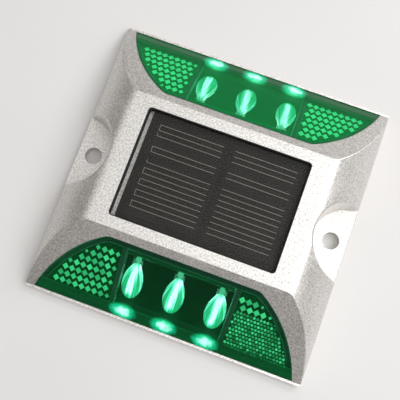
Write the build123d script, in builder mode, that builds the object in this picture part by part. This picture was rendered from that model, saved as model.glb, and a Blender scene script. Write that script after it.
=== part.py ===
from build123d import *
from math import atan2, cos, degrees, radians, sin
import os

# Solar-powered raised pavement marker: a cast housing with a sloped, lit lens on two opposite
# sides and a bolt ear on each of the other two. Millimetres, +Z up.
# Origin: the middle of the underside. +X runs along the lenses, towards one bolt ear;
# -Y is the front lens side and +Y the rear one, which is the front turned half a turn.

# --- Housing ---
width = 107.0               # along X, ear edge to ear edge
depth = 107.0               # along Y, lens edge to lens edge
height = 22.0
edge_height = 2.4           # upright rim all round the base
lip_width = 0.8             # flat lip outside each lens
half_width = width / 2
half_depth = depth / 2
top_half_x = 38.0           # where the flat top meets the bulged flanks
top_half_y = 24.7           # where the flat top meets the two slopes
flank_mid = (47.9, 13.9)    # point that the flank's arc passes through
shoulder_radius = 6.0       # blend from the flat top into a flank
crest_radius = 0.5
corner_radius = 1.2

# --- Bolt ears ---
ear_floor = 4.0
ear_radius = 13.6           # of the recess at its floor
ear_centre = 53.3
ear_draft = 4.5             # degrees that the recess wall leans outwards
rim_radius = 0.9
bolt_spacing = 94.2
bolt_hole_radius = 3.2

# --- Window and solar panel ---
window_x = 61.2
window_y = 41.2
window_corner = 1.4
panel_ledge = 18.2          # height of the shelf under the panel
ledge_opening = (52.0, 32.0)
seal_width = 0.4
window_top = 21.8
window_thickness = 1.7
window_edge = 0.3           # rounding of the cover's upper edge
panel_x = 58.7
panel_y = 40.2
panel_corner = 0.8
panel_shift = 0.75          # the panel lies against the +X side of its pocket
board_thickness = 1.6
cell_x = 26.4
cell_y = 36.0
cell_thickness = 0.2
cell_corner = 0.6
cell_places = (("left", -12.7), ("right", 15.1))

# --- Lenses ---
lens_back = 27.5            # straight inner edge of a lens, from the middle
lens_front = 52.7           # straight outer edge
lens_tip = 50.1             # half-length of the outer edge
lens_shoulder = 28.0        # half-length of the inner edge
lens_bulge = (41.43, 38.0)  # point that the rounded shoulder passes through
lens_blend = 6.0
lens_gap = 0.15
lens_drop = 2.4             # vertical thickness
chin_start = 49.9           # where the lens turns down to its outer edge
chin_height = 2.0
lens_chamfer = 0.25
seal_thickness = 0.3
seal_ledge = 1.6            # width of the ledge under the rim of a lens
seal_bar = (20.5, 21.9)     # inner and outer side of the seal's bar on each rib
bay_floor = 1.5
bay_half_x = 20.3
rib_half_x = 22.0           # outer side of the ribs beside the lamp bay
reflector_front = 49.6
reflector_drop = 4.7        # floor of the reflector pockets, below the slope
reflector_thickness = 1.5
reflector_floor = 0.8       # wall left under the low end of a reflector pocket

# --- Lamps ---
lamp_names = ("left", "middle", "right")
lamp_pitch = 15.9
led_board_back = 29.2
led_board_thickness = 1.1
led_board_top = 15.4
led_board_half_x = 19.6
led_size = (3.4, 0.9, 3.0)
led_dome = 1.1
optic_length = 15.0
optic_radius = 3.75
optic_neck = 1.1
optic_dome = 6.6            # length of the rounded outer end
optic_flatten = 0.55
optic_swell = (1, 0.75)     # direction in which an optic widens from its neck
optic_pull = (0.9, 1.1)     # how strongly its outline holds its end directions
optic_middle = 38.9         # distance of an optic's middle from the centre line
optic_drop = 5.6            # of its axis below the slope
carrier_thickness = 1.0
carrier_gap = 0.15
carrier_half_x = 20.1
carrier_end = 46.5
carrier_toe = (46.0, 49.9, 0.3)   # start, end and thickness of the strip on the bay floor
carrier_notch = 3.0               # length of the opening round each LED

# --- Cavity and bottom cover ---
cavity = (68.0, 46.0)
cavity_corner = 4.0
cavity_roof = 16.2
recess = (75.0, 53.0)
recess_depth = 3.0
cover_bottom = 0.3
cover_top = 2.5
cover_gap = 0.3
post_places = (61.0, 39.0)  # spacings of the four screw posts
post_radius = 3.2
cover_screw_radius = 1.2
cover_screw_length = 8.0
cover_head_radius = 2.3
cover_head_height = 1.3
thread_gap = 0.05
socket_share = 0.5          # of a screw head taken up by its hexagon socket
head_gap = 0.1
key_depth = 3.0
key_pockets = ((43.5, 21.0, 7.0, 9.0), (33.0, 36.5, 15.0, 10.0))
cover_corner = 0.4

# --- Electronics ---
circuit_x = 66.0
circuit_y = 21.0
circuit_middle = 5.0
circuit_bottom = 12.0
circuit_top = circuit_bottom + board_thickness
boss_spacing = 61.0
boss_radius = 2.5
board_screw_radius = 0.8
board_screw_length = 4.8
board_head = (1.6, 1.2)     # radius, height
battery_radius = 5.1
battery_length = 44.0
battery_y = -14.8
battery_z = 8.2
sleeve_thickness = 0.2
saddle_spacing = 28.0
saddle_size = (4.0, 13.0)
tab_thickness = 0.3
tab_size = (5.0, 7.0, 1.0)   # width, height, corner radius
battery_button = (1.9, 0.8)  # radius, height
battery_corner = 0.5
sleeve_end = 1.0             # bare steel left at each end of the battery
battery_turn = 4.5           # from a battery end to its wire's upright run
chip_size = (5.0, 4.0, 1.5)
chip_place = (0.0, 6.0)
chip_lead = (0.4, 1.2, 0.3)
chip_lead_pitch = 1.27
chip_standoff = 0.1
inductor_size = (3.5, 2.2, 4.5)  # flange radius, core radius, height
inductor_flange = 0.8
inductor_spot = (-13.0, 6.0)
winding_gap = 0.4
capacitor_size = (3.15, 7.0)
capacitor_place = (13.0, 6.0)
capacitor_corner = 0.6
diode_size = (4.2, 2.6, 2.2)
diode_place = (-4.0, -1.5)
diode_lead = (5.4, 1.4, 0.5)
transistor_size = (2.9, 1.3, 1.1)
transistor_places = ((6.0, -1.5), (6.0, 12.5))
transistor_lead = (0.5, 2.5, 0.3)
wire_radius = 0.55
wire_bend = 0.7
wire_height = 14.4          # of the lamp wires over the circuit board
wire_hole_x = 17.0
wire_start = 3.0            # distance of the wires' board pads from the centre line
panel_wire_x = 4.0
panel_wire_y = (10.0, 6.5)  # at the panel and at the board
panel_wire_drop = 1.8       # height over the board where the wire turns down

slope_end = half_depth - lip_width
slope = (height - edge_height) / (slope_end - top_half_y)
slope_angle = degrees(atan2(slope, 1))
lens_foot = bay_floor + seal_thickness


def slope_height(y):
    """Height of the housing's sloped face at a distance y from the centre line."""
    return height - (y - top_half_y) * slope


def slope_reach(z, drop):
    """Distance from the centre line where a plane, drop below the slope, comes down to z."""
    return top_half_y + (height - drop - z) / slope


def lens_outline(inset):
    """Plan of a front lens: straight inner and outer edges joined by bulged shoulders."""
    with BuildSketch(mode=Mode.PRIVATE) as outline:
        with BuildLine():
            outer = Line((-lens_tip, -lens_front), (lens_tip, -lens_front))
            back = (lens_shoulder, -lens_back)
            right = ThreePointArc(outer @ 1, (lens_bulge[0], -lens_bulge[1]), back)
            inner = Line(right @ 1, (-lens_shoulder, -lens_back))
            ThreePointArc(inner @ 1, (-lens_bulge[0], -lens_bulge[1]), outer @ 0)
        make_face()
        fillet(outline.vertices().group_by(Axis.Y)[-1], lens_blend)
        if inset:
            offset(amount=-inset, kind=Kind.INTERSECTION, mode=Mode.REPLACE)
    return outline.sketch_local


def slope_band(top_drop, bottom_drop, outer_reach):
    """Cross-section, drawn in Y and Z, between two levels below the front slope."""
    with BuildSketch(mode=Mode.PRIVATE) as band:
        with BuildLine():
            Polyline(
                (-top_half_y, height - top_drop),
                (-outer_reach, slope_height(outer_reach) - top_drop),
                (-outer_reach, slope_height(outer_reach) - bottom_drop),
                (-top_half_y, height - bottom_drop),
                close=True,
            )
        make_face()
    return band.sketch_local


def turned(piece):
    """The same piece on the rear side."""
    return piece.rotate(Axis.Z, 180)


def mirrored(piece):
    """The same piece on the other side of the YZ plane."""
    return mirror(piece, about=Plane.YZ, mode=Mode.PRIVATE)


def shoulder_plate(inset, inner_x, top_drop, bottom_drop):
    """Sloping plate under one rounded shoulder of the front lens, on the +X side."""
    with BuildPart(mode=Mode.PRIVATE) as plate:
        with BuildSketch(Plane.XY.offset(reflector_floor)):
            add(lens_outline(inset))
            with Locations((inner_x, -reflector_front)):
                Rectangle(width, depth, align=(Align.MIN, Align.MIN), mode=Mode.INTERSECT)
        extrude(amount=height)
        with BuildSketch(Plane.YZ):
            add(slope_band(top_drop, bottom_drop, reflector_front))
        extrude(amount=half_width, both=True, mode=Mode.INTERSECT)
    return plate.part


def block(x_range, y_range, z_range):
    """Rectangular block between two opposite corners."""
    with BuildPart(mode=Mode.PRIVATE) as solid:
        with Locations((x_range[0], y_range[0], z_range[0])):
            Box(
                x_range[1] - x_range[0],
                y_range[1] - y_range[0],
                z_range[1] - z_range[0],
                align=(Align.MIN, Align.MIN, Align.MIN),
            )
    return solid.part


def wire(points):
    """Insulated wire with rounded bends along a list of points."""
    with BuildPart(mode=Mode.PRIVATE) as lead:
        with BuildLine() as route:
            FilletPolyline(*points, radius=wire_bend)
        with BuildSketch(Plane(origin=route.line @ 0, z_dir=route.line % 0)):
            Circle(wire_radius)
        sweep(path=route.line)
    return lead.part


def screw(shank_radius, shank_length, head_radius, head_height, tapered, gap):
    """Screw with its head's flat face at z = 0, pointing up; gap widens it all round."""
    profile = [
        (0, 0),
        (head_radius + gap, 0),
        (shank_radius + gap, head_height),
        (shank_radius + gap, shank_length),
        (0, shank_length),
    ]
    if not tapered:
        profile.insert(2, (head_radius + gap, head_height))
    with BuildPart(mode=Mode.PRIVATE) as fastener:
        with BuildSketch(Plane.XZ):
            with BuildLine():
                Polyline(*profile, close=True)
            make_face()
        revolve(axis=Axis.Z)
        if not gap:
            with BuildSketch():
                RegularPolygon(head_radius * socket_share, 6)
            extrude(amount=head_height * socket_share, mode=Mode.SUBTRACT)
    return fastener.part


def save(piece, name):
    """Name a piece and write it to its own file."""
    piece.label = name
    export_step(piece, f"parts/{name}.step")


os.makedirs("parts", exist_ok=True)

# ---------------------------------------------------------------- space cut out for a lens
with BuildPart() as lens_seat:
    with BuildSketch(Plane.XY.offset(bay_floor)):
        add(lens_outline(0))
    extrude(amount=height)
    with BuildSketch(Plane.YZ):
        with BuildLine():
            seat_drop = lens_drop + seal_thickness
            seat_foot = slope_reach(bay_floor, seat_drop)
            Polyline(
                (-top_half_y, 0),
                (-top_half_y, height - seat_drop),
                (-seat_foot, bay_floor),
                (-seat_foot, 0),
                close=True,
            )
        make_face()
    extrude(amount=half_width, both=True, mode=Mode.SUBTRACT)

with BuildPart() as lamp_bay:
    with BuildSketch(Plane.XY.offset(bay_floor)):
        bay_back = lens_back + seal_ledge
        with Locations((0, -bay_back)):
            bay_length = lens_front - seal_ledge - bay_back
            Rectangle(2 * bay_half_x, bay_length, align=(Align.CENTER, Align.MAX))
    extrude(amount=height)

reflector_pocket = shoulder_plate(seal_ledge, rib_half_x, 0, reflector_drop)

# ---------------------------------------------------------------- housing
with BuildPart() as housing:
    with BuildSketch(Plane.XZ):
        with BuildLine():
            base = Line((-half_width, 0), (half_width, 0))
            right_rim = Line(base @ 1, (half_width, edge_height))
            right_flank = ThreePointArc(right_rim @ 1, flank_mid, (top_half_x, height))
            top = Line(right_flank @ 1, (-top_half_x, height))
            left_flank = ThreePointArc(top @ 1, (-flank_mid[0], flank_mid[1]), (-half_width, edge_height))
            Line(left_flank @ 1, base @ 0)
        make_face()
        fillet(vertices().group_by(Axis.Y)[-1], shoulder_radius)
    extrude(amount=half_depth, both=True)
    fillet(edges().filter_by(Axis.Z), corner_radius)

    # the two sloped faces
    with BuildSketch(Plane.YZ) as slopes:
        with BuildLine():
            Polyline(
                (top_half_y, height),
                (half_depth, slope_height(half_depth)),
                (depth, slope_height(half_depth)),
                (depth, 2 * height),
                (top_half_y, 2 * height),
                close=True,
            )
        make_face()
        mirror(about=Plane.YZ)
    extrude(amount=width, both=True, mode=Mode.SUBTRACT)
    crest = edges().filter_by(Axis.X).group_by(Axis.Z)[-1]
    fillet(crest, crest_radius)

    # the flat lip outside each lens
    with BuildSketch():
        RectangleRounded(width, depth, corner_radius)
    extrude(amount=edge_height)

    # a drafted round recess with a rounded rim over each bolt ear, and its bolt hole
    for side in (-1, 1):
        with BuildSketch(Plane.XY.offset(ear_floor)):
            with Locations((side * ear_centre, 0)):
                Circle(ear_radius)
        extrude(amount=height, taper=-ear_draft, mode=Mode.SUBTRACT)
    curved_edges = edges().filter_by(GeomType.BSPLINE)
    fillet(curved_edges.filter_by(lambda edge: abs(edge.center().Y) < ear_radius), rim_radius)
    with Locations((-bolt_spacing / 2, 0, ear_floor), (bolt_spacing / 2, 0, ear_floor)):
        Hole(bolt_hole_radius)

    # lens pockets, lamp bays and reflector pockets, front and rear
    for pocket in (lens_seat.part, lamp_bay.part, reflector_pocket, mirrored(reflector_pocket)):
        add(pocket, mode=Mode.SUBTRACT)
        add(turned(pocket), mode=Mode.SUBTRACT)

    # window pocket, the opening under its ledge, cavity and bottom recess
    with BuildSketch(Plane.XY.offset(panel_ledge)):
        RectangleRounded(window_x, window_y, window_corner)
    extrude(amount=height, mode=Mode.SUBTRACT)
    with BuildSketch(Plane.XY.offset(cavity_roof)):
        RectangleRounded(*ledge_opening, cavity_corner)
    extrude(amount=height, mode=Mode.SUBTRACT)
    with BuildSketch():
        RectangleRounded(*cavity, cavity_corner)
    extrude(amount=cavity_roof, mode=Mode.SUBTRACT)
    with BuildSketch():
        RectangleRounded(*recess, cavity_corner)
    extrude(amount=recess_depth, mode=Mode.SUBTRACT)

    # screw posts for the bottom cover and bosses for the circuit board
    with BuildSketch(Plane.XY.offset(cover_top)):
        with GridLocations(*post_places, 2, 2):
            Circle(post_radius)
    extrude(amount=cavity_roof - cover_top)
    with BuildSketch(Plane.XY.offset(circuit_top)):
        with Locations((-boss_spacing / 2, circuit_middle), (boss_spacing / 2, circuit_middle)):
            Circle(boss_radius)
    extrude(amount=cavity_roof - circuit_top)
    with BuildSketch(Plane.XY.offset(cover_top)):
        with GridLocations(*post_places, 2, 2):
            Circle(cover_screw_radius + thread_gap)
    extrude(amount=cover_screw_length, mode=Mode.SUBTRACT)
    with BuildSketch(Plane.XY.offset(circuit_top)):
        with Locations((-boss_spacing / 2, circuit_middle), (boss_spacing / 2, circuit_middle)):
            Circle(board_screw_radius + thread_gap)
    extrude(amount=board_screw_length - board_thickness, mode=Mode.SUBTRACT)

    # holes from the cavity to each lamp bay for two wires
    with BuildSketch(Plane.XZ):
        with Locations((-wire_hole_x, wire_height), (wire_hole_x, wire_height)):
            Circle(2 * wire_radius)
    extrude(amount=bay_back + 1, both=True, mode=Mode.SUBTRACT)

    # key pockets in the underside for the bedding adhesive
    for key_x, key_y, key_w, key_l in key_pockets:
        with BuildSketch():
            with GridLocations(2 * key_x, 2 * key_y, 2, 2):
                RectangleRounded(key_w, key_l, corner_radius)
        extrude(amount=key_depth, mode=Mode.SUBTRACT)
save(housing.part, "housing")

# ---------------------------------------------------------------- window, seal and solar panel
with BuildPart() as window_seal:
    with BuildSketch(Plane.XY.offset(panel_ledge)):
        RectangleRounded(window_x, window_y, window_corner)
        inner_corner = window_corner - seal_width
        RectangleRounded(
            window_x - 2 * seal_width, window_y - 2 * seal_width, inner_corner, mode=Mode.SUBTRACT
        )
    extrude(amount=window_top - panel_ledge)
save(window_seal.part, "window_seal")

with BuildPart() as window_cover:
    with BuildSketch(Plane.XY.offset(window_top - window_thickness)):
        RectangleRounded(window_x - 2 * seal_width, window_y - 2 * seal_width, inner_corner)
    extrude(amount=window_thickness)
    fillet(edges().group_by(Axis.Z)[-1], window_edge)
save(window_cover.part, "window_cover")

with BuildPart() as solar_panel:
    with BuildSketch(Plane.XY.offset(panel_ledge)):
        with Locations((panel_shift, 0)):
            RectangleRounded(panel_x, panel_y, panel_corner)
    extrude(amount=board_thickness)
save(solar_panel.part, "solar_panel")

panel_face = panel_ledge + board_thickness
for cell_name, cell_middle in cell_places:
    with BuildPart() as solar_cell:
        with BuildSketch(Plane.XY.offset(panel_face)):
            with Locations((cell_middle, 0)):
                RectangleRounded(cell_x, cell_y, cell_corner)
        extrude(amount=cell_thickness)
    save(solar_cell.part, f"solar_cell_{cell_name}")

# ---------------------------------------------------------------- lens, lens seal, reflectors
with BuildPart() as lens:
    with BuildSketch(Plane.XY):
        add(lens_outline(lens_gap))
    extrude(amount=height)
    with BuildSketch(Plane.YZ):
        with BuildLine():
            Polyline(
                (-top_half_y, height),
                (-chin_start, slope_height(chin_start)),
                (-lens_front, chin_height),
                (-lens_front, lens_foot),
                (-slope_reach(lens_foot, lens_drop), lens_foot),
                (-top_half_y, height - lens_drop),
                close=True,
            )
        make_face()
    extrude(amount=half_width, both=True, mode=Mode.INTERSECT)
    outer_rim = faces().filter_by(lambda face: face.normal_at().Z > 0.5).edges()
    chamfer(outer_rim.filter_by(lambda edge: edge.center().Y > -chin_start), lens_chamfer)

with BuildPart() as lens_seal:
    with BuildSketch(Plane.XY):
        add(lens_outline(lens_gap))
        add(lens_outline(seal_ledge - lens_gap), mode=Mode.SUBTRACT)
        bar_length = lens_front - lens_back - seal_ledge
        with Locations((seal_bar[0], -lens_front + lens_gap), (-seal_bar[1], -lens_front + lens_gap)):
            Rectangle(seal_bar[1] - seal_bar[0], bar_length, align=(Align.MIN, Align.MIN))
    extrude(amount=height)
    with BuildSketch(Plane.YZ):
        with BuildLine():
            Polyline(
                (-top_half_y, height - lens_drop),
                (-slope_reach(lens_foot, lens_drop), lens_foot),
                (-lens_front, lens_foot),
                (-lens_front, bay_floor),
                (-seat_foot, bay_floor),
                (-top_half_y, height - seat_drop),
                close=True,
            )
        make_face()
    extrude(amount=half_width, both=True, mode=Mode.INTERSECT)

reflector = shoulder_plate(
    seal_ledge + lens_gap, rib_half_x + lens_gap, reflector_drop - reflector_thickness, reflector_drop
)

# ---------------------------------------------------------------- lamps
with BuildPart() as led_board:
    add(block(
        (-led_board_half_x, led_board_half_x),
        (-led_board_back - led_board_thickness, -led_board_back),
        (bay_floor, led_board_top),
    ))
    with BuildSketch(Plane.XZ):
        with Locations((-wire_hole_x, wire_height), (wire_hole_x, wire_height)):
            Circle(wire_radius + carrier_gap)
    extrude(amount=half_depth, mode=Mode.SUBTRACT)

led_face = led_board_back + led_board_thickness
carrier_start = led_face + carrier_gap
optic_angle = radians(slope_angle)
optic_axis_z = slope_height(optic_middle) - optic_drop
optic_tail_z = optic_axis_z + optic_length / 2 * sin(optic_angle)
optic_plane = Plane(
    origin=(0, -optic_middle, optic_axis_z),
    x_dir=(0, -cos(optic_angle), -sin(optic_angle)),
    z_dir=(0, -sin(optic_angle), cos(optic_angle)),
)


def optic_outline(gap):
    """Plan of an optic's half: a narrow neck at the LED that swells to a rounded outer end."""
    tail = -optic_length / 2 - gap
    widest = optic_length / 2 - optic_dome
    radius = optic_radius + gap
    with BuildSketch(mode=Mode.PRIVATE) as outline:
        with BuildLine():
            axis = Line((tail, 0), (widest + optic_dome + gap, 0))
            neck = Line(axis @ 0, (tail, optic_neck + gap))
            Spline(neck @ 1, (widest, radius), tangents=(optic_swell, (1, 0)), tangent_scalars=optic_pull)
            EllipticalCenterArc((widest, 0), optic_dome + gap, radius, arc_size=90)
        make_face()
    return outline.sketch_local


with BuildPart() as optic:
    with BuildSketch():
        add(optic_outline(0))
    revolve(axis=Axis.X)
    scale(by=(1, 1, optic_flatten))

with BuildPart() as led:
    with Locations((0, -led_face, optic_tail_z)):
        Box(*led_size, align=(Align.CENTER, Align.MAX, Align.CENTER))
    with Locations((0, -led_face - led_size[1], optic_tail_z)):
        Sphere(led_dome, mode=Mode.ADD)
    split(bisect_by=Plane.XZ.offset(led_face), keep=Keep.TOP)

with BuildPart() as lamp_carrier:
    with BuildSketch(Plane.XY):
        with Locations((0, -carrier_start)):
            Rectangle(2 * carrier_half_x, carrier_end - carrier_start, align=(Align.CENTER, Align.MAX))
    extrude(amount=height)
    with BuildSketch(Plane.YZ):
        add(slope_band(optic_drop - carrier_thickness / 2, optic_drop + carrier_thickness / 2, half_depth))
    extrude(amount=half_width, both=True, mode=Mode.INTERSECT)
    with BuildSketch(optic_plane.offset(-2)):
        with GridLocations(1, lamp_pitch, 1, 3):
            add(optic_outline(carrier_gap))
            add(mirror(optic_outline(carrier_gap), about=Plane.XZ, mode=Mode.PRIVATE))
    extrude(amount=4, mode=Mode.SUBTRACT)
    with BuildSketch(Plane.XY):
        with Locations((0, -carrier_start - carrier_notch / 2)):
            with GridLocations(lamp_pitch, 1, 3, 1):
                Rectangle(led_size[0] + 2 * carrier_gap, carrier_notch)
    extrude(amount=height, mode=Mode.SUBTRACT)
    split(bisect_by=Plane.XY.offset(bay_floor))
    toe_start, toe_end, toe_thickness = carrier_toe
    add(block(
        (-carrier_half_x, carrier_half_x), (-toe_end, -toe_start), (bay_floor, bay_floor + toe_thickness)
    ))

# ---------------------------------------------------------------- both lamp sides
lamp_wires = [
    wire([
        (side * wire_hole_x, -wire_start, circuit_top),
        (side * wire_hole_x, -wire_start, wire_height),
        (side * wire_hole_x, -led_face - wire_radius, wire_height),
    ])
    for side in (-1, 1)
]

for side_name, place in (("front", lambda piece: piece), ("rear", turned)):
    save(place(lens.part), f"{side_name}_lens")
    save(place(lens_seal.part), f"{side_name}_lens_seal")
    save(place(mirrored(reflector)), f"{side_name}_left_reflector")
    save(place(reflector), f"{side_name}_right_reflector")
    save(place(led_board.part), f"{side_name}_led_board")
    save(place(lamp_carrier.part), f"{side_name}_lamp_carrier")
    save(place(Compound(children=lamp_wires)), f"{side_name}_lamp_wires")
    for number, lamp_name in enumerate(lamp_names):
        lamp_x = (number - 1) * lamp_pitch
        save(place(Pos(lamp_x, 0, 0) * led.part), f"{side_name}_led_{lamp_name}")
        seated = Pos(lamp_x, 0, 0) * (optic_plane.location * optic.part)
        save(place(seated), f"{side_name}_optic_{lamp_name}")

# ---------------------------------------------------------------- circuit board
with BuildPart() as circuit_board:
    with BuildSketch(Plane.XY.offset(circuit_bottom)):
        with Locations((0, circuit_middle)):
            RectangleRounded(circuit_x, circuit_y, corner_radius)
            with Locations((-boss_spacing / 2, 0), (boss_spacing / 2, 0)):
                Circle(board_screw_radius + thread_gap, mode=Mode.SUBTRACT)
    extrude(amount=board_thickness)
save(circuit_board.part, "circuit_board")

board_screw = screw(board_screw_radius, board_screw_length + board_head[1], *board_head, False, 0)
board_screw_z = circuit_bottom - board_head[1]
save(
    Compound(children=[
        Pos(side * boss_spacing / 2, circuit_middle, board_screw_z) * board_screw for side in (-1, 1)
    ]),
    "board_screws",
)

under_board = (Align.CENTER, Align.CENTER, Align.MAX)
with BuildPart() as controller_chip:
    with Locations((*chip_place, circuit_bottom - chip_standoff)):
        Box(*chip_size, align=under_board)
    with Locations((*chip_place, circuit_bottom)):
        with GridLocations(chip_lead_pitch, chip_size[1] + chip_lead[1], 4, 2):
            Box(*chip_lead, align=under_board)
save(controller_chip.part, "controller_chip")

with BuildPart() as inductor_core:
    with BuildSketch(Plane.XZ):
        with BuildLine():
            flange, core, tall = inductor_size
            Polyline(
                (0, 0),
                (flange, 0),
                (flange, inductor_flange),
                (core, inductor_flange),
                (core, tall - inductor_flange),
                (flange, tall - inductor_flange),
                (flange, tall),
                (0, tall),
                close=True,
            )
        make_face()
    revolve(axis=Axis.Z)

with BuildPart() as inductor_winding:
    with BuildSketch(Plane.XY.offset(inductor_flange)):
        Circle(flange - winding_gap)
        Circle(core, mode=Mode.SUBTRACT)
    extrude(amount=tall - 2 * inductor_flange)

inductor_place = Pos(*inductor_spot, circuit_bottom - tall)
save(inductor_place * inductor_core.part, "inductor_core")
save(inductor_place * inductor_winding.part, "inductor_winding")

with BuildPart() as storage_capacitor:
    with Locations((*capacitor_place, circuit_bottom)):
        Cylinder(*capacitor_size, align=under_board)
    fillet(edges().group_by(Axis.Z)[0], capacitor_corner)
save(storage_capacitor.part, "storage_capacitor")

with BuildPart() as blocking_diode:
    with Locations((*diode_place, circuit_bottom)):
        Box(*diode_size, align=under_board)
        Box(*diode_lead, align=under_board)
save(blocking_diode.part, "blocking_diode")

with BuildPart() as driver_transistors:
    with Locations([(*place, circuit_bottom) for place in transistor_places]):
        Box(*transistor_size, align=under_board)
        Box(*transistor_lead, align=under_board)
save(driver_transistors.part, "driver_transistors")

# ---------------------------------------------------------------- battery
battery_plane = Plane(origin=(0, battery_y, battery_z), x_dir=(0, 1, 0), z_dir=(1, 0, 0))
with BuildPart() as battery_cell:
    with BuildSketch(battery_plane.offset(-battery_length / 2)):
        Circle(battery_radius)
    extrude(amount=battery_length)
    fillet(edges().filter_by(GeomType.CIRCLE), battery_corner)
    with BuildSketch(battery_plane.offset(battery_length / 2)):
        Circle(battery_button[0])
    extrude(amount=battery_button[1])
save(battery_cell.part, "battery_cell")

with BuildPart() as battery_sleeve:
    with BuildSketch(battery_plane.offset(sleeve_end - battery_length / 2)):
        Circle(battery_radius + sleeve_thickness)
        Circle(battery_radius, mode=Mode.SUBTRACT)
    extrude(amount=battery_length - 2 * sleeve_end)
save(battery_sleeve.part, "battery_sleeve")

with BuildPart() as battery_saddles:
    with Locations((-saddle_spacing / 2, battery_y, cover_top), (saddle_spacing / 2, battery_y, cover_top)):
        saddle_height = battery_z - cover_top
        Box(*saddle_size, saddle_height, align=(Align.CENTER, Align.CENTER, Align.MIN))
    with BuildSketch(battery_plane):
        Circle(battery_radius + sleeve_thickness + thread_gap)
    extrude(amount=half_width, both=True, mode=Mode.SUBTRACT)
save(battery_saddles.part, "battery_saddles")

tab_places = (
    ("positive", 1, battery_length / 2 + battery_button[1]),
    ("negative", -1, battery_length / 2),
)
for pole, side, tab_x in tab_places:
    with BuildPart() as tab:
        with BuildSketch(battery_plane.offset(side * tab_x)):
            RectangleRounded(*tab_size)
        extrude(amount=side * tab_thickness)
    save(tab.part, f"battery_tab_{pole}")
    turn_x = side * (battery_length / 2 + battery_turn)
    tab_face = side * (tab_x + tab_thickness)
    battery_wire = wire([
        (tab_face, battery_y, battery_z),
        (turn_x, battery_y, battery_z),
        (turn_x, -wire_start, battery_z),
        (turn_x, -wire_start, circuit_bottom),
    ])
    save(battery_wire, f"battery_wire_{pole}")
    panel_wire = wire([
        (side * panel_wire_x, panel_wire_y[0], panel_ledge),
        (side * panel_wire_x, panel_wire_y[0], cavity_roof),
        (side * panel_wire_x, panel_wire_y[1], circuit_top + panel_wire_drop),
        (side * panel_wire_x, panel_wire_y[1], circuit_top),
    ])
    save(panel_wire, f"panel_wire_{pole}")

# ---------------------------------------------------------------- bottom cover
cover_screw = screw(
    cover_screw_radius, cover_screw_length, cover_head_radius, cover_head_height, True, 0
)
cover_screw_space = screw(
    cover_screw_radius, cover_screw_length, cover_head_radius, cover_head_height, True, head_gap
)
with BuildPart() as bottom_cover:
    with BuildSketch(Plane.XY.offset(cover_bottom)):
        RectangleRounded(recess[0] - 2 * cover_gap, recess[1] - 2 * cover_gap, cavity_corner - cover_gap)
    extrude(amount=cover_top - cover_bottom)
    fillet(edges().group_by(Axis.Z)[0], cover_corner)
    with Locations((0, 0, cover_bottom)):
        with GridLocations(*post_places, 2, 2):
            add(cover_screw_space, mode=Mode.SUBTRACT)
save(bottom_cover.part, "bottom_cover")

with BuildPart() as cover_seal:
    with BuildSketch(Plane.XY.offset(cover_top)):
        RectangleRounded(recess[0] - 2 * cover_gap, recess[1] - 2 * cover_gap, cavity_corner - cover_gap)
        RectangleRounded(cavity[0] + cover_gap, cavity[1] + cover_gap, cavity_corner, mode=Mode.SUBTRACT)
    extrude(amount=recess_depth - cover_top)
save(cover_seal.part, "cover_seal")

with BuildPart() as cover_screws:
    with Locations((0, 0, cover_bottom)):
        with GridLocations(*post_places, 2, 2):
            add(cover_screw)
save(cover_screws.part, "cover_screws")
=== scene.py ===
"""Studio scene of a solar raised pavement marker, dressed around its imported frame."""

import logging
import math
import random
from dataclasses import dataclass
from enum import Enum
from typing import Optional, Sequence, Union

import bmesh
import bpy
from mathutils import Euler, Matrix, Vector
from mathutils.bvhtree import BVHTree


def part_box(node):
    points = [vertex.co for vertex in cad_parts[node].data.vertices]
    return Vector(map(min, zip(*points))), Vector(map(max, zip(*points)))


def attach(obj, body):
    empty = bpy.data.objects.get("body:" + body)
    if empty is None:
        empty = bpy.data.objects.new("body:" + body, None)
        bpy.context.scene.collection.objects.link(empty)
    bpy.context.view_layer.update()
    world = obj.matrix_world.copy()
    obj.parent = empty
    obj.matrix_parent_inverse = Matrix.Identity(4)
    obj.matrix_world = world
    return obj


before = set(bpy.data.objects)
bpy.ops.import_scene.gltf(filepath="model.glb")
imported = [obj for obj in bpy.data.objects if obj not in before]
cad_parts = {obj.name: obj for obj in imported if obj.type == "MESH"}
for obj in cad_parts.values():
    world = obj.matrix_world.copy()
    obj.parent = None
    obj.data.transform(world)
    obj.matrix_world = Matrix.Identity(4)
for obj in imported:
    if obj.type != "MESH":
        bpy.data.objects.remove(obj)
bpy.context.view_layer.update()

LOG = logging.getLogger("pavement_marker")
MM = 0.001

Colour = tuple[float, float, float, float]
Value = Union["Wire", float]
Shade = Union["Wire", Colour]
MIX_FIRST, MIX_SECOND, MIX_COLOUR = 6, 7, 2  # colour sockets of a Mix node
UNLIT: Colour = (0.0, 0.0, 0.0, 1.0)
WHITE: Colour = (1.0, 1.0, 1.0, 1.0)
LAMP_PITCH = 15.9  # between two lamps, in millimetres


def linear(code: str) -> Colour:
    """Turns a display colour into the linear values that shaders use.

    Args:
        code: Six hexadecimal digits, red, green and blue.

    Returns:
        Linear red, green, blue and an alpha of 1.
    """
    shown = [int(code[i : i + 2], 16) / 255 for i in (0, 2, 4)]
    parts = [c / 12.92 if c <= 0.04045 else ((c + 0.055) / 1.055) ** 2.4 for c in shown]
    return (parts[0], parts[1], parts[2], 1.0)


# ------------------------------------------------------------------ shader graph


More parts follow.
